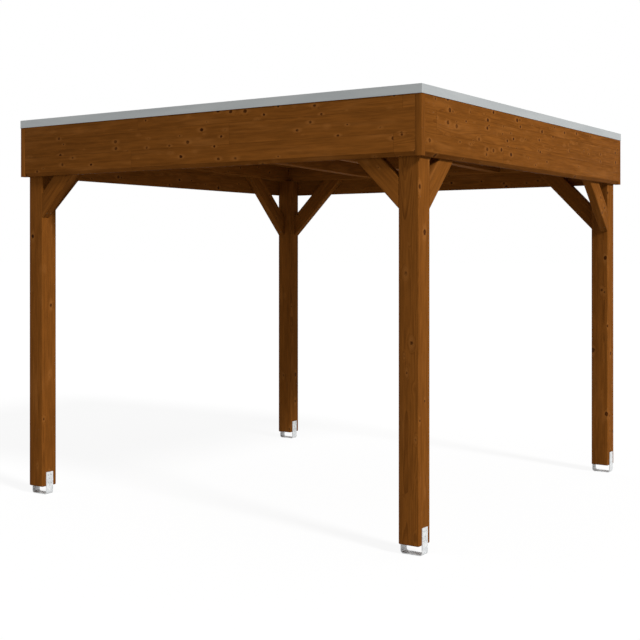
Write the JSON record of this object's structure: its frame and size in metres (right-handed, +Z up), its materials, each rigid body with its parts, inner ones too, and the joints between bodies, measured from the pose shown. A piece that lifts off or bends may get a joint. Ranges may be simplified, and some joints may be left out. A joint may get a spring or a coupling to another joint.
{
  "type": "gazebo",
  "caption": "Open square garden gazebo: flat roof with deep laminated fascia and metal edge on braced timber posts standing on galvanised strap shoes.",
  "frame": {"origin": "on the ground, under the middle of the roof", "axes": "+X along the front towards the right, +Y from front to back, +Z up"},
  "size_m": [3.086, 3.086, 2.52],
  "materials": {
    "stained_post": "brown translucent stain, planed, vertical grain",
    "stained_brace": "brown translucent stain, planed, grain along the brace",
    "stained_frame": "brown translucent stain, planed",
    "stained_deck": "brown translucent stain, tongue-and-groove boards",
    "stained_fascia": "brown translucent stain over finger-jointed laminated lamellas with small knots",
    "galvanised_steel": "hot-dip galvanised",
    "aluminium_edge": "mill-finish folded sheet",
    "rubber_sheet": "matt EPDM"
  },
  "bodies": {
    "root": {"post_front_left": "stained_post", "post_front_right": "stained_post", "post_back_left": "stained_post", "post_back_right": "stained_post", "shoe_front_left": "galvanised_steel", "shoe_front_right": "galvanised_steel", "shoe_back_left": "galvanised_steel", "shoe_back_right": "galvanised_steel", "brace_front_left_across": "stained_brace", "brace_front_right_across": "stained_brace", "brace_back_left_across": "stained_brace", "brace_back_right_across": "stained_brace", "brace_front_left_along": "stained_brace", "brace_front_right_along": "stained_brace", "brace_back_left_along": "stained_brace", "brace_back_right_along": "stained_brace", "beam_front": "stained_frame", "beam_back": "stained_frame", "beam_left": "stained_frame", "beam_right": "stained_frame", "rafters": "stained_frame", "roof_deck": "stained_deck", "roof_sheet": "rubber_sheet", "fascia_front": "stained_fascia", "fascia_back": "stained_fascia", "fascia_left": "stained_fascia", "fascia_right": "stained_fascia", "fascia_corner_front_left": "stained_fascia", "fascia_corner_front_right": "stained_fascia", "fascia_corner_back_left": "stained_fascia", "fascia_corner_back_right": "stained_fascia", "edge_front": "aluminium_edge", "edge_back": "aluminium_edge", "edge_left": "aluminium_edge", "edge_right": "aluminium_edge"}
  },
  "joints": []
}
